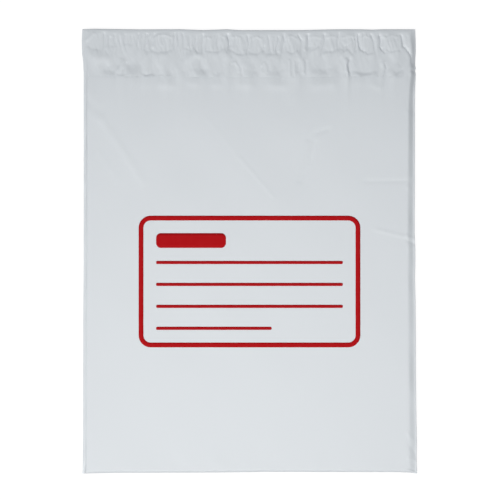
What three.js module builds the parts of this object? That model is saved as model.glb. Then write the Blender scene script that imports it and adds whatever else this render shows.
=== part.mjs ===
// A closed poly mailer bag lying on its back: white polyethylene film folded once at the
// bottom and welded along both sides, drawn tight round a thin flat filling. The lip of the
// back panel is folded over the top and glued down on the front, where the film puckers
// between the places that stuck. The front panel carries a plain printed address block.
//
// Millimetres. X runs across the bag and Y up it, towards the mouth. Z is up, away from the
// surface that the bag lies on. The origin is under the middle of the bag, on that surface.
//
// A point of the front is named by its column, how far it lies to the right of the middle,
// and its drop, how far it lies below the fold at the mouth.

import * as THREE from "three";

// Film and filling.
const bagLength = 330.2;
const bodyWidth = 246.6;
const fillHeight = 7;
const seamHeight = 2.5;
const edgeThickness = 0.6;
const weldWidth = 1.2;

// How far the film takes to come down from the filling to the edge of the bag.
const leftSlope = 2.2;
const rightSlope = 4.0;
const bottomSlope = 1.8;
const underSlope = 3.0;
const underMouthSlope = 14;

// How full the bag is at the mouth and under the glue, as a share of the filling's height.
const mouthFullness = 0.38;
const glueFullness = 0.74;
const mouthRound = 2.2;

// The outline spreads where the filling doesn't draw it in.
const lipSpread = 1.2;
const lipSpreadStart = 18;
const lipSpreadEnd = 27;
const lowerSpread = 0.8;
const cornerSpread = 0.7;
const cornerSpreadLength = 18;
const mouthSag = 0.9;
const bottomRise = 0.9;

// The lip and the lower end of its glue, as drops.
const lipDepth = 35.3;
const lipEdgeRun = 0.3;
const lipStep = 0.4;
const glueBottom = 19;
const glueRun = 3;

// Tucks: the sharp vertical creases in the glued band. Each is [column, depth].
const tuckWidth = 1.5;
const tucks = [
  [-106.5, 0.6],
  [-90.8, 0.5],
  [-80.8, 0.6],
  [-71.9, 0.4],
  [-49.9, 0.6],
  [-33.7, 0.6],
  [-15.0, 1.0],
  [0.7, 0.4],
  [6.2, 0.4],
  [16.3, 0.4],
  [25.2, 0.6],
  [39.0, 0.4],
  [44.3, 0.9],
  [55.7, 0.6],
  [66.1, 0.6],
  [81.5, 1.0],
  [97.0, 1.0],
  [113.4, 0.9],
];

// Pads: the film between two tucks, which bulges and ends in a round below.
const padCrown = 0.8;
const padCrownWidth = 22;
const padRound = 4;

// Pockets: where the free edge of the lip stands off the panel. Each is
// [column, half width, lift].
const pocketReach = 12;
const pockets = [
  [-92, 21, 1.3],
  [-62, 9, 0.5],
  [-35, 10, 0.8],
  [17, 9, 0.9],
  [54, 11, 1.0],
  [85, 10, 1.1],
  [109, 6, 0.9],
];

// Long creases in the free part of the lip. Each is [column, depth].
const creaseWidth = 1.6;
const creaseTop = 23;
const lipCreases = [
  [-7, 0.5],
  [42, 0.5],
  [73.6, 0.8],
  [100.7, 0.5],
];

// Mesh: the spacing of the columns, and how many rows lead down to each drop.
const widestColumn = 5;
const narrowestColumn = 0.9;
const rowBands = [
  [mouthRound, 3],
  [glueBottom, 9],
  [lipDepth, 7],
  [lipDepth + lipEdgeRun, 1],
  [lipDepth + 3 * lipEdgeRun, 1],
  [bagLength - bottomSlope, 6],
  [bagLength, 3],
];

// The printed address block, a film of ink on the flat of the panel.
const inkThickness = 0.2;
const blockWidth = 165;
const blockHeight = 98;
const blockMiddle = -22.7;
const blockCorner = 9;
const frameStroke = 3.6;
const blockPadding = 9.4;
const headerWidth = 52;
const headerHeight = 11;
const headerCorner = 3.5;
const ruleStroke = 2.4;
const ruleCount = 4;
const lastRuleLength = 86;
const leastCorner = 0.4;
const cornerSegments = 6;

const filmColour = 0xdde1e4;
const inkColour = 0xaf1820;

function clamp(value) {
  return Math.min(Math.max(value, 0), 1);
}

function smooth(value) {
  const t = clamp(value);
  return t * t * (3 - 2 * t);
}

// 1 in the middle and 0 at a distance of 1 and beyond, with no kink at either.
function bump(value) {
  return 1 - smooth(Math.abs(value));
}

// The creases that fit between the two sides of the bag.
function onBag([column]) {
  return Math.abs(column) + tuckWidth < bodyWidth / 2 - weldWidth;
}

const placedTucks = tucks.filter(onBag);
const placedCreases = lipCreases.filter(onBag);

// Where a point of the front lies, seen from above.
function place(column, drop) {
  const spread =
    lipSpread * smooth((lipSpreadEnd - drop) / (lipSpreadEnd - lipSpreadStart)) +
    lowerSpread * clamp((2 * drop) / bagLength - 1) +
    cornerSpread * clamp(1 - (bagLength - drop) / cornerSpreadLength) ** 2;
  const share = (2 * column) / bodyWidth;
  const top = bagLength / 2 - mouthSag * (1 - share ** 2);
  const bottom = -bagLength / 2 + bottomRise * (1 - share ** 4);
  return [share * (bodyWidth / 2 + spread), top - (drop / bagLength) * (top - bottom)];
}

// The glued band: pads of film between the tucks.
function glueRelief(column, drop) {
  const sides = [-bodyWidth / 2, ...placedTucks.map((tuck) => tuck[0]), bodyWidth / 2];
  const next = Math.max(sides.findIndex((side) => side >= column), 1);
  const width = sides[next] - sides[next - 1];
  const across = (2 * (column - sides[next - 1])) / width - 1;
  let relief = padCrown * Math.sqrt(clamp(width / padCrownWidth)) * (1 - across ** 4);
  for (const [tuck, depth] of placedTucks) relief -= depth * bump((column - tuck) / tuckWidth);
  const lowerEnd = glueBottom - padRound * across ** 4;
  return relief * smooth((drop - mouthRound) / glueRun) * smooth((lowerEnd - drop) / glueRun + 0.5);
}

// The free part of the lip: a second thickness of film, its pockets and its long creases.
function lipRelief(column, drop) {
  let relief = lipStep * smooth((drop - glueBottom) / glueRun);
  const nearEdge = smooth(1 - (lipDepth - drop) / pocketReach);
  for (const [middle, half, lift] of pockets) {
    relief += lift * bump((column - middle) / half) * nearEdge;
  }
  const along = bump((2 * drop - creaseTop - lipDepth) / (lipDepth - creaseTop));
  for (const [crease, depth] of placedCreases) {
    relief -= depth * bump((column - crease) / creaseWidth) * along;
  }
  return relief;
}

// How full the bag is at a drop: a rounded fold, then a slope up to the filling.
function fullness(drop) {
  if (drop < mouthRound) return mouthFullness * Math.sqrt(1 - (1 - drop / mouthRound) ** 2);
  if (drop < glueBottom) {
    const share = (drop - mouthRound) / (glueBottom - mouthRound);
    return mouthFullness + (glueFullness - mouthFullness) * share;
  }
  return glueFullness + (1 - glueFullness) * smooth((drop - glueBottom) / (lipDepth - glueBottom));
}

// Height of the front film.
function frontHeight(column, drop) {
  const reach = Math.min(
    (bodyWidth / 2 + column - weldWidth) / leftSlope,
    (bodyWidth / 2 - column - weldWidth) / rightSlope,
    (bagLength - drop) / bottomSlope,
  );
  const flange = seamHeight + edgeThickness / 2;
  const rise = Math.sin((clamp(reach) * Math.PI) / 2);
  let crown = (fillHeight - flange) * fullness(drop);
  if (drop > mouthRound && drop <= lipDepth) {
    crown += glueRelief(column, drop) + lipRelief(column, drop);
  }
  return flange + rise * crown;
}

// The columns: closer at the sides and at each crease.
function columns() {
  const left = -bodyWidth / 2 + weldWidth;
  const right = bodyWidth / 2 - weldWidth;
  const wanted = [left, left + leftSlope / 2, left + leftSlope];
  wanted.push(right - rightSlope, right - rightSlope / 2, right);
  for (const [tuck] of placedTucks) wanted.push(tuck - tuckWidth, tuck, tuck + tuckWidth);
  for (const [crease] of placedCreases) wanted.push(crease - creaseWidth, crease, crease + creaseWidth);
  wanted.sort((a, b) => a - b);
  wanted.push(bodyWidth / 2);
  const made = [-bodyWidth / 2];
  for (const column of wanted) {
    const start = made.at(-1);
    const gap = column - start;
    if (gap < narrowestColumn && column < bodyWidth / 2) continue;
    const steps = Math.ceil(gap / widestColumn);
    for (let k = 1; k <= steps; k++) made.push(start + (gap * k) / steps);
  }
  return made;
}

function rows() {
  const made = [0];
  for (const [end, count] of rowBands) {
    const start = made.at(-1);
    for (let k = 1; k <= count; k++) made.push(start + ((end - start) * k) / count);
  }
  return made;
}

// One closed shell: the front film as a grid, a thin wall round the edge, and the underside,
// which rises from a single flat face to that wall.
function mailerGeometry() {
  const across = columns();
  const down = rows();
  const points = [];
  const faces = [];
  for (const drop of down) {
    for (const column of across) {
      points.push([...place(column, drop), frontHeight(column, drop)]);
    }
  }
  for (let r = 0; r + 1 < down.length; r++) {
    for (let c = 0; c + 1 < across.length; c++) {
      const a = r * across.length + c;
      const b = a + across.length;
      faces.push([a, b, a + 1], [a + 1, b, b + 1]);
    }
  }

  // The edge of the grid: along the mouth, down the right, back along the bottom and up the
  // left. The corners are kept for the underside.
  const last = across.length - 1;
  const foot = (down.length - 1) * across.length;
  const rim = [];
  for (let c = 0; c < last; c++) rim.push(c);
  for (let r = 0; r + 1 < down.length; r++) rim.push(r * across.length + last);
  for (let c = last; c > 0; c--) rim.push(foot + c);
  for (let r = down.length - 1; r > 0; r--) rim.push(r * across.length);
  const corners = [0, last, last + down.length - 1, 2 * last + down.length - 1, rim.length];

  function ring(inset) {
    const first = points.length;
    for (const i of rim) {
      const [x, y] = points[i];
      const shrunkX = x * (1 - (2 * inset) / bodyWidth);
      const shrunkY = y * (1 - (2 * inset) / bagLength);
      points.push([shrunkX, shrunkY, seamHeight - edgeThickness / 2]);
    }
    return Array.from(rim, (_, i) => first + i);
  }
  function join(outer, inner) {
    for (let i = 0; i < rim.length; i++) {
      const j = (i + 1) % rim.length;
      faces.push([outer[i], outer[j], inner[i]], [inner[i], outer[j], inner[j]]);
    }
  }
  const wall = ring(0);
  const weld = ring(weldWidth);
  join(rim, wall);
  join(wall, weld);

  // From the weld, each side slopes down to two corners of the flat face.
  const flat = points.length;
  const flatX = bodyWidth / 2 - weldWidth - underSlope;
  const flatTop = bagLength / 2 - underMouthSlope;
  const flatFoot = bottomRise + underSlope - bagLength / 2;
  points.push([-flatX, flatTop, 0], [flatX, flatTop, 0], [flatX, flatFoot, 0], [-flatX, flatFoot, 0]);
  for (let side = 0; side < 4; side++) {
    const start = flat + side;
    const end = flat + ((side + 1) % 4);
    const middle = Math.round((corners[side] + corners[side + 1]) / 2);
    for (let i = corners[side]; i < corners[side + 1]; i++) {
      faces.push([weld[i], weld[(i + 1) % rim.length], i < middle ? start : end]);
    }
    faces.push([start, weld[middle], end]);
  }
  faces.push([flat, flat + 1, flat + 2], [flat, flat + 2, flat + 3]);

  const geometry = new THREE.BufferGeometry();
  geometry.setAttribute("position", new THREE.Float32BufferAttribute(points.flat(), 3));
  geometry.setIndex(faces.flat());
  geometry.computeVertexNormals();
  return geometry;
}

// A rectangle with round corners about the origin, drawn into a shape or a hole.
function rounded(path, width, height, corner) {
  const x = width / 2 - corner;
  const y = height / 2 - corner;
  path.moveTo(-x, -y - corner);
  path.lineTo(x, -y - corner);
  path.absarc(x, -y, corner, -Math.PI / 2, 0, false);
  path.lineTo(x + corner, y);
  path.absarc(x, y, corner, 0, Math.PI / 2, false);
  path.lineTo(-x, y + corner);
  path.absarc(-x, y, corner, Math.PI / 2, Math.PI, false);
  path.lineTo(-x - corner, -y);
  path.absarc(-x, -y, corner, Math.PI, 1.5 * Math.PI, false);
  return path;
}

const film = new THREE.MeshStandardMaterial({ color: filmColour, roughness: 0.42, metalness: 0 });
const ink = new THREE.MeshStandardMaterial({ color: inkColour, roughness: 0.5, metalness: 0 });

const mailer = new THREE.Group();

function addPrint(name, shape, x, y) {
  const settings = { depth: inkThickness, bevelEnabled: false, curveSegments: cornerSegments };
  const mesh = new THREE.Mesh(new THREE.ExtrudeGeometry(shape, settings), ink);
  mesh.name = name;
  mesh.position.set(x, y, fillHeight);
  mailer.add(mesh);
}

const bag = new THREE.Mesh(mailerGeometry(), film);
bag.name = "mailer_bag";
mailer.add(bag);

// The frame of the address block.
const windowWidth = blockWidth - 2 * frameStroke;
const windowHeight = blockHeight - 2 * frameStroke;
const windowCorner = Math.max(blockCorner - frameStroke, leastCorner);
const frame = rounded(new THREE.Shape(), blockWidth, blockHeight, blockCorner);
frame.holes.push(rounded(new THREE.Path(), windowWidth, windowHeight, windowCorner));
addPrint("print_frame", frame, 0, blockMiddle);

// The solid bar at its head.
const textWidth = windowWidth - 2 * blockPadding;
const textHeight = windowHeight - 2 * blockPadding;
const headerY = blockMiddle + (textHeight - headerHeight) / 2;
const header = rounded(new THREE.Shape(), headerWidth, headerHeight, headerCorner);
addPrint("print_header_bar", header, (headerWidth - textWidth) / 2, headerY);

// The ruled lines, evenly down to the foot of the block, the last one shorter.
const rulePitch = (textHeight - headerHeight / 2 - ruleStroke / 2) / ruleCount;
for (let i = 1; i <= ruleCount; i++) {
  const length = i === ruleCount ? lastRuleLength : textWidth;
  const rule = rounded(new THREE.Shape(), length, ruleStroke, ruleStroke * 0.4);
  addPrint(`print_rule_${i}`, rule, (length - textWidth) / 2, headerY - rulePitch * i);
}

export default mailer;
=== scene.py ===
"""The looks of a closed poly mailer bag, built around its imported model.

Lengths in the shape functions are in millimetres. A point of the front is named by its column,
how far it lies to the right of the middle, and its drop, how far it lies below the fold at the
mouth. Both are measured on the plain rectangle of the bag.
"""

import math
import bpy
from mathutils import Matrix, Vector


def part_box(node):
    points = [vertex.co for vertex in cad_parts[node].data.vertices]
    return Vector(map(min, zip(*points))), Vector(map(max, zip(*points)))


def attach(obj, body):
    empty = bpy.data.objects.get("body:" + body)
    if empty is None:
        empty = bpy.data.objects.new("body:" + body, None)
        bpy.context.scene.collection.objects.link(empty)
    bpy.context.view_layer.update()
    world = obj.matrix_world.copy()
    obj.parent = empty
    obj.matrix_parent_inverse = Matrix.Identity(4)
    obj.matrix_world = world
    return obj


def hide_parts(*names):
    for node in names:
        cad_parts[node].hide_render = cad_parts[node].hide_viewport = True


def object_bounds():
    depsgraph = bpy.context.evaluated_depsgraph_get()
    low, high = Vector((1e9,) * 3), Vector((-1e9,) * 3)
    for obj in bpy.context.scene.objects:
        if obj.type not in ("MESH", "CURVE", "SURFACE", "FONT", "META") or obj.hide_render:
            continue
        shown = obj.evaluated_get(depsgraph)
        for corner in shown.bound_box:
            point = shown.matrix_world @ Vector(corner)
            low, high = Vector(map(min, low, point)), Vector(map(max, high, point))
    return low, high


bl_info = {
    "name": "Poly Mailer Bag",
    "version": (1, 0, 0),
    "blender": (4, 5, 0),
    "location": "3D View > Sidebar > Mailer",
    "description": "Builds a closed poly mailer bag with a puckered lip and a printed block",
    "category": "Object",
}

import bpy
import numpy as np
from bpy.props import FloatProperty, FloatVectorProperty, PointerProperty
from bpy.types import Operator, Panel, PropertyGroup

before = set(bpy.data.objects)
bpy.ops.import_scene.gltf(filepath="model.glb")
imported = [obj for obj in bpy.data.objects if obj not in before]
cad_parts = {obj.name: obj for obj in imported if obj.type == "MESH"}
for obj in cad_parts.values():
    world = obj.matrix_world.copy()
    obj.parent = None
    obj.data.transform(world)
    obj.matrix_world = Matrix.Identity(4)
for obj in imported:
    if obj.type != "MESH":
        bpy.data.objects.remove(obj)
cad_low, cad_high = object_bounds()

MM = 0.001

# The length of the bag and the height of its front over the filling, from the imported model.
LENGTH = (cad_high.y - cad_low.y) / MM
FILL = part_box("print_frame")[0].z / MM

# Half the width of the plain rectangle, and the drop at which the lip ends.
HALF = 123.3
LIP = 35.3

# The side welds: the height of their middle, half their thickness and how wide they show.
SEAM = 2.5
EDGE = 0.25
WELD = 1.3

# How far the fold at either end takes to turn.
ROUND = 2.2

# How the bag fills out below the mouth: the share that the fold makes by itself, the length of
# the steady slope below it, and the length over which that slope eases to nothing.
FOLD_SHARE = 0.17
STEADY = 36
EASING = 46

# How far the bag swells over the glued band of the lip and how much further over its free
# margin, and how far below the lip the swell has gone.
BAND_SWELL = 0.3
MARGIN_SWELL = 0.27
SWELL_END = 80

# The back: how far it takes to fall from either weld to the floor. At the mouth the fold makes
# this share of the fall by itself, and a slope of this length makes the rest.
BACK_FALL = 3.2
BACK_FOLD_SHARE = 0.35
BACK_SLOPE = 16

# The outline, as (drop, distance from the middle) down each side.
LEFT_SIDE = [(0, 124.6), (8, 125.0), (19, 124.7), (24, 123.9), (33, 123.5), (70, 123.4),
             (170, 123.4), (215, 123.7), (300, 123.8), (322, 124.0), (328, 124.3), (330, 124.7)]
RIGHT_SIDE = [(0, 123.5), (9, 123.9), (16, 124.0), (26, 123.4), (29, 123.9), (31, 123.4),
              (33, 123.9), (49, 123.3), (132, 123.1), (154, 123.0), (163, 123.5), (175, 123.5),
              (184, 123.2), (205, 123.7), (268, 124.0), (309, 124.6), (320, 124.4), (330, 124.9)]

# The mouth and the bottom, as (column, distance beyond the plain rectangle).
MOUTH_EDGE = [(-123, 0.2), (-114, 0.5), (-78, 0.0), (-52, 0.2), (-34, -0.5), (-16, 0.1),
              (-7, -0.5), (38, -0.5), (65, 0.1), (83, 0.1), (91, -0.2), (100, 0.1), (123, 0.1)]
BOTTOM_EDGE = [(-123, 0.8), (-96, 0.3), (-33, 0.1), (-7, -0.1), (11, -0.4), (29, -0.4),
               (47, -0.3), (110, -0.2), (118, 0.1), (123, 0.6)]

# How far the film takes to fall from the filling to the weld, as (drop, width).
LEFT_FALL = [(0, 3.0), (20, 4.0), (30, 2.4), (60, 1.7), (330, 1.9)]
RIGHT_FALL = [(0, 3.6), (8, 4.0), (14, 4.2), (25, 4.2), (33, 4.0), (45, 3.7), (58, 4.2),
              (110, 4.5), (330, 4.8)]

# How wide the flat right weld is that shows beside the fall, as (drop, width).
RIGHT_WELD = [(0, 0.3), (34, 0.3), (44, WELD), (330, WELD)]

# How far each side weld curls up above its corner at the mouth, as (drop, height).
LEFT_CURL = [(0, 0), (44, 2.2), (95, 2.4), (165, 3.1), (240, 3.4), (322, 3.4), (330, 1.0)]
RIGHT_CURL = [(0, 0), (8, -0.7), (24, -0.6), (46, 1.2), (68, 1.7), (90, 2.1), (128, 2.3),
              (165, 2.4), (239, 2.7), (300, 3.0), (322, 3.0), (330, 2.4)]

# Random unevenness, as (height, width and length of a ripple, seed, number of waves).
RIPPLES = {
    "weld": (0.16, 34, 9, 6, 12),
    "panel": (0.08, 60, 70, 4, 12),
    "bottom": (0.07, 26, 40, 8, 16),
    "aside": (0.28, 12, 12, 21, 40),
    "along": (0.30, 10, 14, 23, 40),
    "band": (0.050, 3.6, 12, 31, 40),
    "margin": (0.110, 12, 26, 32, 40),
    "fine": (0.014, 5, 8, 33, 40),
}

# The lip wraps over the mouth and ends on the back, at the first of these drops. It stands out
# round the fold by a gap that closes behind a drop, and its end is sunk a little into the back.
WRAP_DROPS = (4.0, 2.8, 1.8, 1.0, 0.45, 0.12)
FOLD_GAP = 0.12
GAP_CLOSES = 1.5
WRAP_SUNK = 0.03

# The lip lies above the front by this gap, and its last row of points is this close to its edge.
LIP_GAP = 0.05
LAST_ROW = 0.04

# The front film lies this much lower under the lip, with a dip along the edge of the lip. The
# creases of that edge go on in the panel below it and fade over this distance.
UNDER_LIP = 1.9
EDGE_DIP = 0.12
EDGE_FADE = 8

# A tuck: how round its bottom is, how long its slopes are as a share of its width, how much
# longer the right slope of a deep one is, the depths between which that sets in, how much of
# the depth its end loses, and how deep and wide the dip round it is.
TUCK_ROUND = 0.2
TUCK_SLOPE = 0.8
LONG_SLOPE = 2.4
DEEP_TUCK = (0.55, 1.05)
END_LOSS = 0.6
DIP_DEPTH = 0.2
DIP_WIDTH = 3.0

# Lines along which the lip is stuck down, as (width, depth, path of (column, drop)).
TUCKS = [
    (0.9, 0.32, [(-122.8, 5.7), (-121.3, 6.8)]),
    (0.7, 0.60, [(-107.0, 2.7), (-107.0, 14.6)]),
    (0.6, 0.44, [(-102.9, 5.7), (-102.7, 13.8)]),
    (0.6, 0.36, [(-99.0, 4.2), (-98.6, 12.0)]),
    (0.6, 0.34, [(-95.7, 8.2), (-94.9, 12.4)]),
    (0.5, 0.42, [(-91.2, 4.2), (-91.4, 13.8)]),
    (0.5, 0.34, [(-86.4, 5.0), (-87.0, 12.4)]),
    (0.6, 0.54, [(-81.2, 3.4), (-82.7, 13.8)]),
    (0.6, 0.56, [(-75.2, 3.4), (-77.5, 14.6)]),
    (0.7, 0.60, [(-69.8, 3.4), (-71.6, 6.8), (-72.4, 13.0)]),
    (0.6, 0.54, [(-54.8, 2.7), (-55.1, 14.6)]),
    (0.5, 0.44, [(-51.8, 3.4), (-51.8, 14.6)]),
    (0.6, 0.58, [(-48.7, 2.7), (-48.7, 13.1)]),
    (0.6, 0.54, [(-40.3, 13.1), (-38.8, 8.6), (-38.8, 4.2)]),
    (0.4, 0.34, [(-43.6, 4.9), (-43.2, 11.6)]),
    (0.8, 0.68, [(-34.1, 3.4), (-34.1, 17.2)]),
    (0.7, 0.54, [(-22.7, 4.9), (-22.7, 15.3)]),
    (0.7, 1.20, [(-15.4, 4.2), (-15.0, 11.0), (-14.6, 14.2)]),
    (0.7, 0.60, [(-0.1, 4.9), (-0.5, 12.4), (-1.0, 16.8)]),
    (0.7, 0.54, [(10.3, 15.3), (11.5, 11.6)]),
    (0.7, 0.56, [(15.3, 5.7), (15.1, 16.8)]),
    (0.6, 0.52, [(21.9, 5.7), (20.5, 17.6)]),
    (0.7, 0.68, [(25.8, 1.9), (25.7, 13.1), (23.7, 18.3)]),
    (0.7, 0.62, [(36.8, 3.4), (38.5, 7.1), (38.8, 14.6)]),
    (0.6, 0.98, [(43.8, 3.8), (43.8, 15.7)]),
    (0.7, 0.70, [(55.7, 3.4), (55.6, 13.8), (53.5, 18.0)]),
    (0.6, 0.62, [(66.6, 1.9), (65.5, 14.6)]),
    (0.6, 0.34, [(71.3, 12.7), (75.4, 10.1)]),
    (0.6, 0.62, [(79.1, 7.1), (79.1, 15.3), (77.0, 17.6)]),
    (0.6, 1.05, [(81.4, 3.8), (81.3, 13.1), (82.5, 15.7), (84.7, 17.2)]),
    (0.5, 0.42, [(85.1, 2.7), (83.6, 8.6)]),
    (0.6, 0.64, [(90.4, 3.8), (92.3, 7.9), (92.8, 16.1)]),
    (0.6, 1.05, [(96.9, 4.0), (97.2, 13.1), (98.3, 15.7), (100.8, 17.6)]),
    (0.6, 0.84, [(112.9, 4.6), (113.3, 10.9), (114.0, 13.1), (116.2, 14.4), (117.5, 16.6),
                 (119.2, 19.8), (121.0, 25.0)]),
    (1.2, 0.32, [(-91.6, 25.0), (-94.6, 32.4)]),
    (1.4, 0.36, [(-12.7, 19.8), (-15.0, 28.0)]),
    (1.0, 0.28, [(-6.0, 28.7), (-6.0, 35.4)]),
    (1.0, 0.30, [(36.5, 23.0), (36.3, 33.0)]),
    (0.8, 0.42, [(42.0, 24.3), (41.6, 31.7)]),
    (1.0, 0.86, [(73.3, 23.1), (74.0, 29.5), (75.1, 36.2)]),
    (0.8, 0.42, [(100.4, 25.7), (101.5, 29.5), (100.0, 36.9)]),
]

# A smile fades over this distance below it, and over this share of its path at each end.
SMILE_FADE = 7
SMILE_END = 2 / 7

# Lines under the pads where the free film rises again, as (width, rise, path from left to right).
SMILES = [
    (3.4, 1.00, [(-126.5, 9.8), (-122.0, 11.8), (-116.9, 14.4), (-106.0, 16.6)]),
    (0.7, 0.24, [(-107.2, 14.2), (-102.7, 13.1), (-96.8, 12.1)]),
    (0.7, 0.22, [(-95.3, 12.4), (-90.1, 11.5), (-84.1, 11.2)]),
    (2.2, 0.62, [(-83.4, 12.8), (-77.5, 15.0), (-72.0, 17.4)]),
    (1.9, 0.84, [(-73.5, 13.4), (-71.1, 16.4), (-67.8, 17.2), (-63.3, 16.2), (-58.9, 16.4),
                 (-55.5, 13.8)]),
    (0.9, 0.40, [(-49.0, 13.1), (-46.2, 14.6), (-43.2, 16.1), (-40.0, 13.1)]),
    (0.8, 0.30, [(-40.6, 13.8), (-37.3, 16.4), (-34.0, 17.2)]),
    (1.6, 0.80, [(-33.9, 13.2), (-31.3, 15.7), (-26.9, 16.5), (-22.4, 16.0), (-18.7, 15.0),
                 (-15.4, 12.6)]),
    (0.8, 0.60, [(-14.2, 13.6), (-12.0, 16.0), (-9.0, 18.2), (-4.5, 18.3), (-0.8, 16.4)]),
    (1.2, 0.66, [(-0.7, 15.8), (2.2, 17.1), (5.1, 18.0), (8.1, 17.4), (10.6, 14.8)]),
    (1.4, 0.60, [(10.8, 16.2), (17.0, 18.4), (23.6, 17.8)]),
    (1.4, 0.68, [(26.4, 14.6), (29.7, 16.2), (33.4, 17.2), (38.2, 15.0)]),
    (0.9, 0.46, [(43.9, 15.7), (46.8, 14.9), (49.8, 13.4), (53.2, 12.6)]),
    (1.2, 0.66, [(53.2, 17.2), (58.0, 16.2), (60.9, 17.0), (63.9, 15.6), (65.7, 13.4)]),
    (0.9, 0.54, [(65.5, 13.1), (67.6, 15.0), (69.9, 16.8), (74.0, 13.4)]),
    (1.2, 0.56, [(84.4, 16.8), (88.5, 18.0), (93.2, 16.4)]),
    (0.9, 0.54, [(99.7, 13.8), (104.1, 16.4), (109.3, 16.5), (113.3, 15.0)]),
    (0.6, 0.34, [(115.6, 12.4), (122.5, 12.4)]),
    (1.6, 0.20, [(-107.5, 29.4), (-102.7, 28.0), (-99.4, 25.7)]),
    (1.2, 0.36, [(102.6, 36.3), (109.3, 32.4), (115.0, 28.7)]),
    (2.6, 0.30, [(-46.0, 32.0), (-38.0, 28.6), (-29.0, 31.0)]),
    (2.2, 0.24, [(-2.0, 28.0), (2.5, 25.5), (6.5, 28.5)]),
]

# The shares of its path between which a ridge gains its height. It starts with most of it.
RIDGE_START = (-1 / 4, 1 / 12)

# Ridges of the lip, as (width, height, path of (column, drop)).
RIDGES = [
    (1.4, 0.31, [(-122.1, 9.7), (-114.7, 3.8)]),
    (0.8, 0.24, [(-105.2, 6.0), (-105.2, 14.0)]),
    (0.8, 0.26, [(-94.2, 4.5), (-93.6, 11.0)]),
    (0.8, 0.32, [(-80.0, 4.5), (-80.8, 14.0)]),
    (0.7, 0.28, [(-73.6, 4.2), (-75.6, 12.4)]),
    (0.9, 0.28, [(-68.4, 5.5), (-70.0, 12.8)]),
    (1.0, 0.20, [(-65.6, 4.6), (-64.8, 12.0)]),
    (1.2, 0.24, [(-59.6, 4.4), (-59.0, 13.4)]),
    (1.4, 0.24, [(-46.4, 5.7), (-46.0, 12.4)]),
    (0.7, 0.26, [(-42.0, 5.0), (-42.0, 12.6)]),
    (0.8, 0.28, [(-32.4, 4.4), (-32.4, 14.8)]),
    (1.8, 0.28, [(-28.4, 5.7), (-27.6, 13.8)]),
    (1.2, 0.32, [(-12.6, 4.6), (-11.8, 14.6)]),
    (1.1, 0.28, [(-5.4, 6.9), (-5.1, 15.8)]),
    (0.8, 0.28, [(1.4, 6.4), (0.8, 14.0)]),
    (1.0, 0.31, [(2.9, 6.0), (5.9, 4.9), (8.9, 6.4)]),
    (0.8, 0.28, [(17.4, 5.5), (17.2, 15.0)]),
    (0.8, 0.28, [(23.8, 4.5), (22.6, 16.0)]),
    (1.7, 0.31, [(30.4, 5.7), (32.7, 14.6)]),
    (0.9, 0.32, [(41.4, 4.9), (41.6, 14.6)]),
    (1.7, 0.27, [(60.9, 5.7), (60.2, 13.1)]),
    (2.8, 0.31, [(75.1, 5.7), (73.6, 10.1)]),
    (0.7, 0.28, [(94.9, 6.5), (95.0, 14.0)]),
    (0.8, 0.20, [(-104.0, 5.8), (-102.2, 4.8), (-100.0, 5.6)]),
    (0.8, 0.22, [(-71.0, 6.6), (-66.5, 4.7), (-60.0, 4.5), (-56.6, 5.6)]),
    (0.7, 0.20, [(-33.0, 6.2), (-30.6, 4.9), (-28.4, 5.9)]),
    (0.8, 0.20, [(-23.0, 5.6), (-20.6, 4.6), (-17.6, 5.4)]),
    (0.8, 0.22, [(-12.6, 5.7), (-9.6, 4.9), (-6.4, 5.7)]),
    (0.8, 0.22, [(28.4, 6.2), (31.4, 4.9), (35.0, 5.9)]),
    (0.9, 0.22, [(45.4, 5.9), (49.0, 4.7), (53.6, 5.7)]),
    (0.8, 0.20, [(57.4, 6.1), (60.8, 4.9), (64.6, 5.9)]),
    (0.9, 0.22, [(69.4, 6.1), (73.0, 4.7), (77.4, 5.9)]),
    (0.8, 0.22, [(83.4, 6.1), (86.4, 4.9), (89.6, 6.1)]),
    (0.9, 0.20, [(100.0, 5.9), (105.6, 4.9), (111.4, 5.9)]),
    (5.0, 0.62, [(104.6, 9.0), (105.0, 12.6)]),
    (3.4, 0.34, [(119.0, 7.5), (120.0, 10.5)]),
    (4.5, 0.70, [(-113.9, 21.3), (-105.0, 22.0)]),
    (1.6, 0.46, [(-93.6, 23.6), (-95.2, 28.0), (-98.2, 31.0)]),
    (2.6, 0.36, [(-75.0, 20.4), (-76.4, 30.0)]),
    (3.4, 0.50, [(-62.6, 19.8), (-63.3, 34.7)]),
    (2.6, 0.56, [(-38.5, 17.8), (-44.0, 21.0), (-49.0, 25.4), (-51.4, 31.0), (-51.0, 36.9)]),
    (3.1, 0.58, [(-16.4, 19.8), (-16.8, 36.2)]),
    (0.9, 0.28, [(-12.7, 25.7), (-10.5, 24.6), (-8.3, 26.5), (-7.9, 31.0)]),
    (4.4, 0.58, [(-2.4, 20.6), (-2.0, 33.4)]),
    (1.1, 0.24, [(9.6, 26.5), (11.1, 24.6), (12.6, 31.0)]),
    (4.0, 0.40, [(17.4, 20.6), (17.0, 29.6)]),
    (4.5, 0.66, [(35.6, 19.8), (33.8, 28.0), (33.4, 35.4)]),
    (0.9, 0.26, [(30.2, 24.0), (29.8, 34.0)]),
    (0.9, 0.26, [(33.9, 24.0), (33.7, 34.0)]),
    (1.2, 0.30, [(40.0, 23.5), (39.7, 32.4)]),
    (3.4, 0.54, [(69.9, 19.0), (71.0, 28.0), (72.1, 36.2)]),
    (1.1, 0.80, [(71.9, 22.8), (72.5, 29.5), (73.6, 36.2)]),
    (1.5, 0.50, [(99.2, 25.0), (98.2, 36.9)]),
    (2.0, 0.38, [(110.0, 28.0), (105.6, 35.4)]),
]

# A pocket starts to turn a little farther back than it says, and still farther at its sides.
# The turn takes a fixed length and a share of how far back it starts.
POCKET_EARLY = 0.3
POCKET_BOW = 2.6
TURN_LENGTH = 0.8
TURN_SHARE = 0.9

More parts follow.
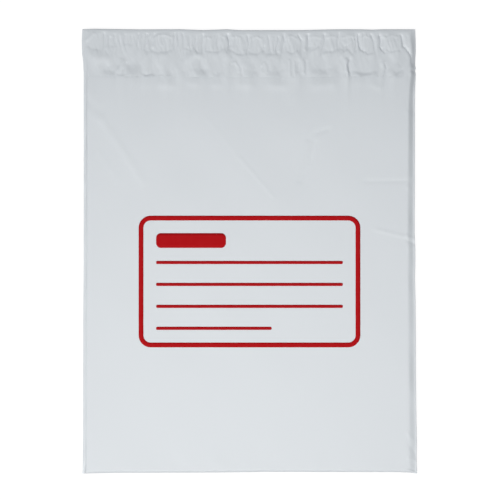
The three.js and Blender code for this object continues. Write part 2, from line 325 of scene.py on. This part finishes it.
# Where the free edge of the lip turns up, as (column, half width, lift, start above the edge).
POCKETS = [
    (-103.6, 7.0, 0.85, 4.4),
    (-94.5, 6.0, 0.50, 1.1),
    (-86.6, 7.0, 1.65, 9.4),
    (-76.0, 7.0, 0.70, 1.1),
    (-66.3, 13.7, 0.32, 0.8),
    (-36.2, 9.4, 0.95, 6.2),
    (-24.6, 6.0, 0.36, 2.4),
    (0.7, 7.2, 0.50, 5.0),
    (17.6, 9.6, 0.82, 4.8),
    (54.5, 12.5, 0.92, 6.0),
    (85.5, 11.8, 1.10, 3.2),
    (108.2, 7.2, 0.80, 4.0),
]

# Soft folds of the front panel below the lip, as (width, rise, path of (column, drop)).
PANEL_FOLDS = [
    (2.5, -0.12, [(95.2, 35.4), (92.2, 42.9)]),
    (5.0, 0.20, [(33.4, 35.4), (31.9, 49.5)]),
    (3.4, 0.12, [(-84.0, 40.0), (-76.0, 40.6)]),
    (3.4, 0.38, [(-65.5, 41.0), (-58.0, 41.6)]),
    (2.8, 0.30, [(-44.0, 39.8), (-40.0, 40.2)]),
    (2.6, 0.26, [(-26.5, 40.8), (-22.5, 41.4)]),
    (3.2, 0.30, [(-6.5, 40.6), (1.0, 41.0)]),
    (3.6, 0.40, [(16.0, 41.2), (25.0, 41.8)]),
    (3.6, 0.40, [(49.0, 41.4), (61.0, 41.0)]),
    (3.2, 0.14, [(76.0, 39.6), (84.0, 39.8)]),
    (2.6, 0.28, [(91.5, 41.2), (96.0, 43.0)]),
    (1.4, 0.07, [(-31.0, 66.3), (-6.8, 96.1)]),
    (1.3, 0.16, [(-6.8, 96.1), (18.3, 124.7)]),
    (1.6, -0.30, [(58.3, 74.6), (50.0, 77.0), (44.3, 82.1)]),
    (2.0, -0.34, [(48.1, 83.9), (45.0, 97.0), (37.9, 112.8)]),
    (3.2, 0.22, [(-110.5, 67.0), (-92.6, 93.0), (-79.0, 113.5)]),
    (4.0, 0.16, [(-119.0, 60.0), (-110.5, 67.0)]),
    (2.0, 0.10, [(-112.0, 92.0), (-97.0, 113.0)]),
    (1.2, -0.20, [(86.2, 113.4), (120.0, 113.0)]),
    (1.3, 0.20, [(94.0, 149.2), (119.0, 155.4)]),
    (2.6, 0.10, [(-121.0, 44.0), (-112.0, 56.0)]),
    (2.2, -0.10, [(-121.0, 52.0), (-116.0, 60.0)]),
]

# Small creases in the film that falls to the right weld, as (width, rise, path).
SIDE_CREASES = [
    (1.0, 0.30, [(117.4, 153.6), (123.2, 156.2)]),
    (1.0, -0.26, [(117.6, 157.4), (122.8, 159.6)]),
    (1.0, 0.20, [(118.2, 163.4), (122.6, 161.8)]),
    (1.6, 0.16, [(118.0, 118.0), (122.6, 122.0)]),
    (1.4, 0.22, [(116.8, 301.4), (121.6, 306.2)]),
    (1.4, -0.22, [(117.4, 309.0), (123.0, 316.4)]),
    (1.2, 0.24, [(117.0, 319.0), (123.6, 321.4)]),
    (1.0, -0.30, [(117.6, 326.8), (123.4, 329.4)]),
    (1.6, 0.14, [(117.0, 62.0), (122.6, 66.0)]),
]

# The print: half the thickness of its ink, the stroke and the outer corner radius of its frame,
# the points across that stroke, the steps round a corner of the frame and of a bar, and the
# corner radius of each bar.
INK = 0.05
FRAME_STROKE = 3.6
FRAME_CORNER = 9.0
STROKE_POINTS = 4
FRAME_STEPS = 8
BAR_STEPS = 6
BARS = {
    "print_header_bar": 3.5,
    "print_rule_1": 0.96,
    "print_rule_2": 0.96,
    "print_rule_3": 0.96,
    "print_rule_4": 0.96,
}

# How bright the camera sees the floor, by its own glow and by the light that falls on it.
FLOOR_GLOW = 0.92
FLOOR_SHADE = 0.16

# The camera: its lens and sensor, the width of the picture in pixels, the size of a pixel on
# the bag in metres, and how many pixels the view is moved aside and up.
LENS = 200.0
SENSOR = 36.0
PICTURE = 500
PIXEL = 0.000744
SHIFT = (0.5, 1.0)


def smooth(value):
    """A value held between 0 and 1, with an even start and stop."""
    t = np.clip(value, 0, 1)
    return t * t * (3 - 2 * t)


def grows(at, start, end):
    """0 before the start, 1 after the end and smooth between them."""
    return smooth((at - start) / (end - start))


def fades(at, start, end):
    """1 before the start, 0 after the end and smooth between them."""
    return 1 - grows(at, start, end)


def ridge(reach, width):
    """The height of a soft round ridge at a distance from its middle, where it is 1."""
    return np.exp(-((reach / width) ** 2))


def turned(past):
    """How far the fold at an end has turned at a distance past it, from 0 to 1."""
    return np.sqrt(1 - (1 - np.clip(past / ROUND, 0, 1)) ** 2)


def along(stops, at):
    """The value at a place along a list of (place, value) stops."""
    places, values = zip(*stops)
    return np.interp(at, places, values)


def path_reach(path, column, drop):
    """How far points lie from a path, how far along it, from 0 to 1, and on which side.

    The side is 1 below a path that runs to the right, -1 above it and 0 straight beyond its ends.
    """
    nearest = np.full(np.shape(column), np.inf)
    share = np.zeros(np.shape(column))
    side = np.zeros(np.shape(column))
    lengths = [math.dist(a, b) for a, b in zip(path, path[1:])]
    walked = 0.0
    for (x0, y0), (x1, y1), length in zip(path, path[1:], lengths):
        t = ((column - x0) * (x1 - x0) + (drop - y0) * (y1 - y0)) / length**2
        t = np.clip(t, 0, 1)
        reach = np.hypot(column - x0 - t * (x1 - x0), drop - y0 - t * (y1 - y0))
        turn = (x1 - x0) * (drop - y0) - (y1 - y0) * (column - x0)
        closer = reach < nearest
        nearest = np.where(closer, reach, nearest)
        share = np.where(closer, (walked + t * length) / sum(lengths), share)
        side = np.where(closer, turn / (length * np.maximum(reach, 1e-6)), side)
        walked += length
    return nearest, share, side


def ripples(x, y, name):
    """The height of the random unevenness that RIPPLES gives under a name."""
    height, wide, tall, seed, count = RIPPLES[name]
    draw = np.random.default_rng(seed)
    total = np.zeros(np.broadcast(x, y).shape)
    for _ in range(count):
        across = math.tau / (wide * draw.uniform(0.6, 1.6)) * draw.choice([-1, 1])
        down = math.tau / (tall * draw.uniform(0.6, 2.0)) * draw.choice([-1, 1])
        total += np.sin(across * x + down * y + draw.uniform(0, math.tau))
    return height * total / math.sqrt(count / 2)


def place(column, drop):
    """Where a column and a drop lie, seen from above."""
    left = -along(LEFT_SIDE, drop)
    right = along(RIGHT_SIDE, drop)
    x = left + (column + HALF) / (2 * HALF) * (right - left)
    top = LENGTH / 2 + along(MOUTH_EDGE, column)
    bottom = -LENGTH / 2 - along(BOTTOM_EDGE, column)
    return x, top - drop / LENGTH * (top - bottom)


def fullness(drop):
    """How full the bag is at a drop, from 0 at the mouth's fold to 1 over the filling."""
    steady = np.clip(drop - ROUND, 0, STEADY)
    easing = np.clip(drop - ROUND - STEADY, 0, EASING)
    slope = (1 - FOLD_SHARE) / (STEADY + EASING / 2)
    return FOLD_SHARE * turned(drop) + slope * (steady + easing - easing**2 / (2 * EASING))


def side_rise(column, drop):
    """0 at the weld of either side and 1 where the film lies on the filling."""
    left = (HALF + column - WELD) / along(LEFT_FALL, drop)
    right = (HALF - column - along(RIGHT_WELD, drop)) / along(RIGHT_FALL, drop)
    share = np.clip(np.minimum(left, right), 0, 1)
    return 0.5 * (np.sin(share * math.pi / 2) + smooth(share))


def seam_height(column, drop):
    """Height of the side weld that is nearer to a column, with a slight wave along it."""
    curl = np.where(column < 0, along(LEFT_CURL, drop), along(RIGHT_CURL, drop))
    wave = ripples(drop, np.sign(column), "weld")
    return SEAM + curl + wave * grows(drop, 8, 38) * fades(drop, LENGTH - 12, LENGTH)


def front_base(column, drop):
    """Height of the front of the bag before any crease or ripple."""
    swell = BAND_SWELL * grows(drop, 0.4, 3.4) + MARGIN_SWELL * grows(drop, 16, 35)
    swell = swell * fades(drop, LIP, LIP + SWELL_END)
    filled = fullness(drop) * (FILL - SEAM - EDGE) + swell
    top = SEAM + EDGE + turned(LENGTH - drop) * filled
    weld = seam_height(column, drop) + EDGE
    return weld + side_rise(column, drop) * (top - weld)


def unsteady(column, drop):
    """A place on the lip, moved a little, so that no crease there runs quite straight."""
    return column + ripples(column, drop, "aside"), drop + ripples(column, drop, "along")


def lip_creases(column, drop):
    """How far the lip stands above the plain front where it isn't turned up."""
    u, v = unsteady(column, drop)
    cut = np.zeros(np.shape(column))
    dip = np.zeros(np.shape(column))
    for width, depth, path in TUCKS:
        reach, share, side = path_reach(path, u, v)
        longer = LONG_SLOPE * grows(depth, *DEEP_TUCK) * grows(drop, 3, 12)
        slope = TUCK_SLOPE * width * (1 + longer * smooth(-side))
        depth = depth * (1 - END_LOSS * grows(share, 0.7, 1))
        cut = np.maximum(cut, depth * np.exp((TUCK_ROUND - np.hypot(reach, TUCK_ROUND)) / slope))
        dip = np.maximum(dip, depth * ridge(reach, DIP_WIDTH))
    rise = np.zeros(np.shape(column))
    for width, height, path in RIDGES:
        reach, share, _ = path_reach(path, u, v)
        rise += height * ridge(reach, width) * grows(share, *RIDGE_START)
    for width, height, path in SMILES:
        reach, share, side = path_reach(path, u, v)
        below = np.where(side > 0, reach, 0)
        ends = grows(share, 0, SMILE_END) * fades(share, 1 - SMILE_END, 1)
        rise += height * (1 - np.exp(-below / width)) * np.exp(-below / SMILE_FADE) * ends
    rise += ripples(u, v, "band") * grows(drop, 2, 6) * fades(drop, 16, 22)
    rise += ripples(u, v, "margin") * grows(drop, 17, 23)
    rise += ripples(u, v, "fine")
    return rise - (cut + DIP_DEPTH * dip) * grows(drop, 1.4, 4)


def lip_pockets(column, drop):
    """How far the free edge of the lip is turned up."""
    u, v = unsteady(column, drop)
    rise = np.zeros(np.shape(column))
    for middle, half, lift, turn in POCKETS:
        aside = np.clip(np.abs(u - middle) / half, 0, 1)
        start = LIP - turn - POCKET_EARLY - POCKET_BOW * aside**2
        end = start + TURN_LENGTH + TURN_SHARE * turn
        rise += lift * (1 - aside**2) ** 1.5 * grows(v, start, end)
    return rise


def lip_height(column, drop):
    """Height of the top of the lip."""
    relief = lip_creases(column, drop) + lip_pockets(column, drop)
    return front_base(column, drop) + LIP_GAP + side_rise(column, drop) * relief


def front_height(column, drop):
    """Height of the front film, which lies lower under the lip and follows its edge below it."""
    flat = side_rise(column, drop) * fades(drop, LENGTH - 8, LENGTH)
    hidden = UNDER_LIP * grows(drop, 1.5, 4.5) * fades(drop, LIP - 8, LIP - 2)
    below = grows(drop, LIP - 5, LIP)
    edge = lip_creases(column, np.full(np.shape(column), LIP))
    relief = edge * np.exp(-np.clip(drop - LIP, 0, None) / EDGE_FADE) * below
    relief = relief - EDGE_DIP * fades(drop, LIP - 1, LIP + 1)
    relief = relief + ripples(column, drop, "panel") * below
    relief = relief + ripples(column, drop, "bottom") * grows(drop, LENGTH - 22, LENGTH - 4)
    for width, rise, path in PANEL_FOLDS:
        reach, _, _ = path_reach(path, column, drop)
        relief = relief + rise * ridge(reach, width) * below
    height = front_base(column, drop) + flat * (relief - hidden)
    for width, rise, path in SIDE_CREASES:
        reach, _, _ = path_reach(path, column, drop)
        height = height + rise * ridge(reach, width) * fades(drop, LENGTH - 3, LENGTH)
    return height


def back_height(column, drop):
    """Height of the back film, which lies flat under the filling."""
    side = np.minimum(HALF + column - WELD, HALF - column - WELD) / BACK_FALL
    side = np.sin(np.clip(side, 0, 1) * math.pi / 2)
    start = 0.4 * ROUND
    slope = grows(drop, start, start + BACK_SLOPE)
    mouth = BACK_FOLD_SHARE * turned(drop) + (1 - BACK_FOLD_SHARE) * slope
    middle = (SEAM - EDGE) * (1 - turned(LENGTH - drop) * mouth)
    weld = seam_height(column, drop) - EDGE
    return weld + side * (middle - weld)


def graded(stops):
    """Positions from the first stop to the last, with a pitch given for each stretch."""
    made = [stops[0][0]]
    for (start, pitch), (end, _) in zip(stops, stops[1:]):
        steps = max(1, round((end - start) / pitch))
        made.extend(start + (end - start) * k / steps for k in range(1, steps + 1))
    return np.array(made)


def quads(*corners):
    """Four-sided faces from their corners, each given for all faces at once."""
    return np.stack(corners, axis=-1).reshape(-1, 4)


def grid_faces(rows, columns, first=0, flip=False):
    """Faces of a grid of points laid down row by row, facing up unless flipped."""
    a = first + np.arange(rows - 1)[:, None] * columns + np.arange(columns - 1)
    faces = quads(a, a + columns, a + columns + 1, a + 1)
    return faces[:, ::-1] if flip else faces


def rim_of(rows, columns, first=0):
    """The points round the edge of a grid, clockwise from its first point, seen from above."""
    top = [first + c for c in range(columns - 1)]
    right = [first + r * columns + columns - 1 for r in range(rows - 1)]
    bottom = [first + (rows - 1) * columns + c for c in range(columns - 1, 0, -1)]
    left = [first + r * columns for r in range(rows - 1, 0, -1)]
    return top + right + bottom + left


def closed_sheet(upper, lower):
    """Points and faces of a closed piece between an upper and a lower grid of points."""
    rows, columns = upper.shape[:2]
    count = rows * columns
    high = rim_of(rows, columns)
    low = rim_of(rows, columns, first=count)
    wall = np.array(list(zip(high, high[1:] + high[:1], low[1:] + low[:1], low)))
    faces = np.concatenate([
        wall,
        grid_faces(rows, columns),
        grid_faces(rows, columns, first=count, flip=True),
    ])
    return np.concatenate([upper.reshape(-1, 3), lower.reshape(-1, 3)]), faces, len(wall)


def mesh_object(name, points, faces, flat, material):
    """A mesh object from points in millimetres, smooth but for its first, flat faces."""
    mesh = bpy.data.meshes.new(name)
    mesh.from_pydata((np.asarray(points) * MM).tolist(), [], [list(map(int, f)) for f in faces])
    mesh.polygons.foreach_set("use_smooth", [k >= flat for k in range(len(faces))])
    mesh.update()
    obj = bpy.data.objects.new(name, mesh)
    obj.data.materials.append(material)
    bpy.context.scene.collection.objects.link(obj)
    return obj


def body_shell():
    """Points and faces of the bag without its lip: front, back and the weld between them."""
    columns = graded([(-HALF, 0.5), (-HALF + 6, 1.35), (HALF - 9, 0.5), (HALF, 0)])
    drops = graded([(0, 0.3), (ROUND, 3.0), (LIP - 5, 1.1), (165, 2.6), (LENGTH - 32, 1.2),
                    (LENGTH - 8, 0.6), (LENGTH - ROUND, 0.25), (LENGTH, 0)])
    column, drop = np.meshgrid(columns, drops)
    x, y = place(column, drop)
    front = np.stack([x, y, front_height(column, drop)], axis=-1)
    back = np.stack([x, y, back_height(column, drop)], axis=-1)
    return closed_sheet(front, back)


def lip_shell(pitch, gauge):
    """Points and faces of the lip as a thin shell that wraps over the fold at the mouth."""
    columns = np.linspace(-HALF, HALF, round(2 * HALF / pitch) + 1)
    rows = []
    for drop in WRAP_DROPS:
        x, y = place(columns, np.full_like(columns, drop))
        outward = FOLD_GAP * fades(drop, GAP_CLOSES, WRAP_DROPS[0]) - WRAP_SUNK
        height = back_height(columns, drop) - outward
        rows.append(np.stack([x, y + 0.4 * outward, height], axis=-1))
    x, y = place(columns, np.zeros_like(columns))
    rows.append(np.stack([x, y + FOLD_GAP, np.full_like(columns, SEAM)], axis=-1))
    top_drop = WRAP_DROPS[-1]
    for drop in graded([(top_drop, 0.3), (ROUND, 0.6), (LIP - LAST_ROW, LAST_ROW), (LIP, 0)]):
        there = np.full_like(columns, drop)
        x, y = place(columns, there)
        outward = FOLD_GAP * max(1 - drop / ROUND, 0)
        rows.append(np.stack([x, y + outward, lip_height(columns, there)], axis=-1))
    outer = np.stack(rows)
    normal = np.cross(np.gradient(outer, axis=0), np.gradient(outer, axis=1))
    normal /= np.linalg.norm(normal, axis=-1, keepdims=True)
    return closed_sheet(outer, outer - normal * gauge)


def bar_sheet(low, high, corner, pitch):
    """Points and faces of a printed bar with round corners, laid on the panel."""
    x0, y0, x1, y1 = low.x / MM, low.y / MM, high.x / MM, high.y / MM
    turn = corner * (1 - np.cos(np.linspace(0, math.pi / 2, BAR_STEPS + 1)))
    straight = np.linspace(x0 + corner, x1 - corner, max(2, round((x1 - x0) / pitch)))
    x = np.concatenate([x0 + turn, straight[1:-1], (x1 - turn)[::-1]])
    inset = np.clip(np.minimum(x - x0, x1 - x), 0, corner)
    half = (y1 - y0) / 2 - corner + np.sqrt(np.clip(corner**2 - (corner - inset) ** 2, 0, None))
    across = np.linspace(1, -1, max(3, round((y1 - y0) / pitch) + 1))
    y = (y0 + y1) / 2 + across[:, None] * half
    return closed_sheet(*ink_layers(np.broadcast_to(x, y.shape), y))


def ink_layers(x, y):
    """The upper and the lower face of the ink over a grid of places on the front panel."""
    height = front_height(x, LENGTH / 2 - y)
    upper = np.stack([x, y, height + INK], axis=-1)
    lower = np.stack([x, y, height - INK], axis=-1)
    return upper, lower


def frame_sheet(low, high, pitch):
    """Points and faces of the printed frame, one round strip laid on the panel."""
    middle = np.array([high.x + low.x, high.y + low.y]) / 2 / MM
    half = np.array([high.x - low.x, high.y - low.y]) / 2 / MM - FRAME_CORNER
    corners = np.array([(1, 1), (-1, 1), (-1, -1), (1, -1)]) * half
    points = []
    outward = []
    for turn, (start, end) in enumerate(zip(corners, np.roll(corners, -1, axis=0))):
        for angle in np.linspace(turn, turn + 1, FRAME_STEPS + 1) * math.pi / 2:
            points.append(start)
            outward.append((math.cos(angle), math.sin(angle)))
        steps = max(2, round(math.dist(start, end) / pitch))
        for k in range(1, steps):
            points.append(start + (end - start) * k / steps)
            outward.append(outward[-1])
    across = FRAME_CORNER - np.linspace(0, FRAME_STROKE, STROKE_POINTS)
    ring = np.array(points)[:, None] + np.array(outward)[:, None] * across[None, :, None]
    upper, lower = ink_layers(middle[0] + ring[..., 0], middle[1] + ring[..., 1])

    here = np.arange(ring[..., 0].size).reshape(len(points), len(across))
    ahead = np.roll(here, -1, axis=0)
    below = here.size
    outer = quads(here[:, 0], here[:, 0] + below, ahead[:, 0] + below, ahead[:, 0])
    inner = quads(here[:, -1], ahead[:, -1], ahead[:, -1] + below, here[:, -1] + below)
    top = quads(here[:, :-1], ahead[:, :-1], ahead[:, 1:], here[:, 1:])
    faces = np.concatenate([outer, inner, top, top[:, ::-1] + below])
    points = np.concatenate([upper.reshape(-1, 3), lower.reshape(-1, 3)])
    return points, faces, len(outer) + len(inner)


def new_material(name):
    """A new material with its nodes, its links and its shader."""
    material = bpy.data.materials.new(name)
    material.use_nodes = True
    nodes = material.node_tree.nodes
    return material, nodes, material.node_tree.links, nodes["Principled BSDF"]


def film_material(colours):
    """White polyethylene film: satin, with faint lines along it and a soft unevenness."""
    material, nodes, links, shader = new_material("white_film")
    shader.inputs["Base Color"].default_value = (*colours.film, 1)
    shader.inputs["IOR"].default_value = 1.5
    shader.inputs["Roughness"].default_value = 0.42
    coordinates = nodes.new("ShaderNodeTexCoord")
    stretch = nodes.new("ShaderNodeMapping")
    stretch.inputs["Scale"].default_value = (1400, 60, 200)
    lines = nodes.new("ShaderNodeTexNoise")
    lines.inputs["Scale"].default_value = 1
    lines.inputs["Detail"].default_value = 3
    soft = nodes.new("ShaderNodeTexNoise")
    soft.inputs["Scale"].default_value = 90
    soft.inputs["Detail"].default_value = 4
    fine = nodes.new("ShaderNodeBump")
    fine.inputs["Strength"].default_value = 0.04
    fine.inputs["Distance"].default_value = 0.0002
    broad = nodes.new("ShaderNodeBump")
    broad.inputs["Strength"].default_value = 0.09
    broad.inputs["Distance"].default_value = 0.0004
    links.new(coordinates.outputs["Object"], stretch.inputs["Vector"])
    links.new(stretch.outputs["Vector"], lines.inputs["Vector"])
    links.new(coordinates.outputs["Object"], soft.inputs["Vector"])
    links.new(lines.outputs["Fac"], fine.inputs["Height"])
    links.new(soft.outputs["Fac"], broad.inputs["Height"])
    links.new(fine.outputs["Normal"], broad.inputs["Normal"])
    links.new(broad.outputs["Normal"], shader.inputs["Normal"])
    return material


def ink_material(colours):
    """Red ink on the film, a little uneven in its cover."""
    material, nodes, links, shader = new_material("red_ink")
    shader.inputs["IOR"].default_value = 1.45
    shader.inputs["Roughness"].default_value = 0.5
    shader.inputs["Specular IOR Level"].default_value = 0.03
    coordinates = nodes.new("ShaderNodeTexCoord")
    cover = nodes.new("ShaderNodeTexNoise")
    cover.inputs["Scale"].default_value = 260
    cover.inputs["Detail"].default_value = 5
    tint = nodes.new("ShaderNodeMix")
    tint.data_type = "RGBA"
    tint.inputs["A"].default_value = (*colours.ink, 1)
    thin_cover = [0.006 + 1.04 * part for part in colours.ink]
    tint.inputs["B"].default_value = (*thin_cover, 1)
    links.new(coordinates.outputs["Object"], cover.inputs["Vector"])
    links.new(cover.outputs["Fac"], tint.inputs["Factor"])
    links.new(tint.outputs["Result"], shader.inputs["Base Color"])
    return material


def floor_material(stage):
    """A pale floor that the camera sees as white, with the shadow of the bag on it."""
    material, nodes, links, shader = new_material("pale_floor")
    nodes.remove(shader)
    rays = nodes.new("ShaderNodeLightPath")
    seen = nodes.new("ShaderNodeMath")
    seen.operation = "MAXIMUM"
    seen_or_through = nodes.new("ShaderNodeMath")
    seen_or_through.operation = "MAXIMUM"
    plain = nodes.new("ShaderNodeBsdfDiffuse")
    plain.inputs["Color"].default_value = (*stage.floor, 1)
    shaded = nodes.new("ShaderNodeBsdfDiffuse")
    shaded.inputs["Color"].default_value = (FLOOR_SHADE, FLOOR_SHADE, FLOOR_SHADE, 1)
    glow = nodes.new("ShaderNodeEmission")
    glow.inputs["Strength"].default_value = FLOOR_GLOW
    both = nodes.new("ShaderNodeAddShader")
    mix = nodes.new("ShaderNodeMixShader")
    links.new(rays.outputs["Is Camera Ray"], seen.inputs[0])
    links.new(rays.outputs["Is Glossy Ray"], seen.inputs[1])
    links.new(seen.outputs[0], seen_or_through.inputs[0])
    links.new(rays.outputs["Is Transmission Ray"], seen_or_through.inputs[1])
    links.new(seen_or_through.outputs[0], mix.inputs["Fac"])
    links.new(plain.outputs[0], mix.inputs[1])
    links.new(shaded.outputs[0], both.inputs[0])
    links.new(glow.outputs[0], both.inputs[1])
    links.new(both.outputs[0], mix.inputs[2])
    links.new(mix.outputs[0], nodes["Material Output"].inputs["Surface"])
    return material


def shared_material(name, make, settings):
    """A material by name, made on first use."""
    return bpy.data.materials.get(name) or make(settings)


def studio_world(ambient):
    """Even, slightly cool light from all round, which the camera sees as plain white."""
    world = bpy.data.worlds.new("studio")
    world.use_nodes = True
    nodes = world.node_tree.nodes
    links = world.node_tree.links
    background = nodes["Background"]
    background.inputs["Color"].default_value = (0.95, 0.99, 1.04, 1)
    background.inputs["Strength"].default_value = ambient
    white = nodes.new("ShaderNodeBackground")
    white.inputs["Strength"].default_value = 1.0
    rays = nodes.new("ShaderNodeLightPath")
    mix = nodes.new("ShaderNodeMixShader")
    links.new(rays.outputs["Is Camera Ray"], mix.inputs["Fac"])
    links.new(background.outputs[0], mix.inputs[1])
    links.new(white.outputs[0], mix.inputs[2])
    links.new(mix.outputs[0], nodes["World Output"].inputs["Surface"])
    return world


def area_light(name, power, colour, size, spot):
    """A square light, aimed at the middle of the bag."""
    light = bpy.data.lights.new(name, "AREA")
    light.energy = power
    light.color = colour
    light.size = size
    lamp = bpy.data.objects.new(name, light)
    lamp.location = spot
    lamp.rotation_euler = (-lamp.location).to_track_quat("-Z", "Y").to_euler()
    bpy.context.scene.collection.objects.link(lamp)


def overhead_camera():
    """A camera with a long lens, straight above the bag."""
    camera = bpy.data.cameras.new("camera")
    camera.lens = LENS
    camera.sensor_width = SENSOR
    view = bpy.data.objects.new("camera", camera)
    distance = PICTURE * PIXEL * LENS / SENSOR
    view.location = (SHIFT[0] * PIXEL, SHIFT[1] * PIXEL, distance + FILL * MM)
    bpy.context.scene.collection.objects.link(view)
    return view


class MailerSizes(PropertyGroup):
    """How finely the pieces are made, and how thick the film is."""

    pitch: FloatProperty(
        name="Film pitch",
        description="Spacing of the points of the lip",
        default=0.0005,
        min=0.0004,
        unit="LENGTH",
        precision=5,
    )
    gauge: FloatProperty(
        name="Film gauge",
        description="Thickness of the film of the lip",
        default=0.00008,
        unit="LENGTH",
        precision=5,
    )
    ink_pitch: FloatProperty(
        name="Ink pitch",
        description="Spacing of the points of the print",
        default=0.002,
        min=0.0005,
        unit="LENGTH",
    )


class MailerColours(PropertyGroup):
    """The colours of the film and of the print."""

    film: FloatVectorProperty(
        name="Film",
        description="Colour of the white film",
        default=(0.74, 0.775, 0.80),
        subtype="COLOR",
        min=0,
        max=1,
    )
    ink: FloatVectorProperty(
        name="Ink",
        description="Colour of the printed block",
        default=(0.44, 0.004, 0.007),
        subtype="COLOR",
        min=0,
        max=1,
    )


class StageSettings(PropertyGroup):
    """The floor and the lights."""

    floor: FloatVectorProperty(
        name="Floor",
        description="Colour of the floor as it lights the bag",
        default=(0.25, 0.25, 0.25),
        subtype="COLOR",
        min=0,
        max=1,
    )
    key_power: FloatProperty(
        name="Key light",
        description="Power of the soft light from the left",
        default=36.0,
        min=0,
        unit="POWER",
    )
    foot_power: FloatProperty(
        name="Foot light",
        description="Power of the small light over the bottom of the bag",
        default=1.0,
        min=0,
        unit="POWER",
    )
    ambient: FloatProperty(
        name="Ambient light",
        description="Strength of the even light from all round",
        default=0.36,
        min=0,
    )


class MAILER_OT_body(Operator):
    """Build the front, the back and the welds of the bag"""

    bl_idname = "mailer.body"
    bl_label = "Bag Body"

    def execute(self, context):
        colours = context.scene.mailer_colours
        material = shared_material("white_film", film_material, colours)
        body = mesh_object("film_body", *body_shell(), material)
        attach(body, "root")
        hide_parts("mailer_bag")
        return {"FINISHED"}


class MAILER_OT_lip(Operator):
    """Lay the puckered lip on the front and wrap it over the mouth"""

    bl_idname = "mailer.lip"
    bl_label = "Glued Lip"

    def execute(self, context):
        sizes = context.scene.mailer_sizes
        colours = context.scene.mailer_colours
        material = shared_material("white_film", film_material, colours)
        shell = lip_shell(sizes.pitch / MM, sizes.gauge / MM)
        lip = mesh_object("film_lip", *shell, material)
        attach(lip, "root")
        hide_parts("mailer_bag")
        return {"FINISHED"}


class MAILER_OT_print(Operator):
    """Lay the printed frame, header bar and ruled lines on the front panel"""

    bl_idname = "mailer.print"
    bl_label = "Printed Block"

    def execute(self, context):
        pitch = context.scene.mailer_sizes.ink_pitch / MM
        colours = context.scene.mailer_colours
        made = {"print_frame": frame_sheet(*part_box("print_frame"), pitch)}
        for node, corner in BARS.items():
            made[node] = bar_sheet(*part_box(node), corner, pitch)
        material = shared_material("red_ink", ink_material, colours)
        for node, sheet in made.items():
            piece = mesh_object(node.replace("print", "ink"), *sheet, material)
            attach(piece, "root")
            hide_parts(node)
        return {"FINISHED"}


class MAILER_OT_stage(Operator):
    """Set the floor, the lights and the camera"""

    bl_idname = "mailer.stage"
    bl_label = "Stage"

    def execute(self, context):
        scene = context.scene
        stage = scene.mailer_stage
        bpy.ops.mesh.primitive_plane_add(size=20, location=(0, 0, 0))
        floor = context.active_object
        floor.name = "floor"
        floor.data.materials.append(floor_material(stage))
        scene.world = studio_world(stage.ambient)
        area_light("key", stage.key_power, (1.0, 1.0, 1.0), 1.6, (-1.2, -1.6, 2.2))
        area_light("foot_light", stage.foot_power, (1.0, 0.96, 0.92), 0.5, (-0.02, -0.16, 0.5))
        scene.camera = overhead_camera()
        scene.view_settings.view_transform = "Standard"
        return {"FINISHED"}


class MAILER_PT_panel(Panel):
    """Lists the steps that build the bag"""

    bl_idname = "MAILER_PT_panel"
    bl_label = "Poly Mailer Bag"
    bl_space_type = "VIEW_3D"
    bl_region_type = "UI"
    bl_category = "Mailer"

    def draw(self, context):
        layout = self.layout
        for settings in (
            context.scene.mailer_sizes,
            context.scene.mailer_colours,
            context.scene.mailer_stage,
        ):
            box = layout.box()
            for name in settings.__annotations__:
                box.prop(settings, name)
        for operator in OPERATORS:
            layout.operator(operator.bl_idname)


OPERATORS = (MAILER_OT_stage, MAILER_OT_body, MAILER_OT_lip, MAILER_OT_print)
CLASSES = (MailerSizes, MailerColours, StageSettings, *OPERATORS, MAILER_PT_panel)


def register():
    for cls in CLASSES:
        bpy.utils.register_class(cls)
    bpy.types.Scene.mailer_sizes = PointerProperty(type=MailerSizes)
    bpy.types.Scene.mailer_colours = PointerProperty(type=MailerColours)
    bpy.types.Scene.mailer_stage = PointerProperty(type=StageSettings)


def unregister():
    del bpy.types.Scene.mailer_stage
    del bpy.types.Scene.mailer_colours
    del bpy.types.Scene.mailer_sizes
    for cls in reversed(CLASSES):
        bpy.utils.unregister_class(cls)


def main():
    register()
    bpy.ops.mailer.stage()
    bpy.ops.mailer.body()
    bpy.ops.mailer.lip()
    bpy.ops.mailer.print()


if __name__ == "__main__":
    main()
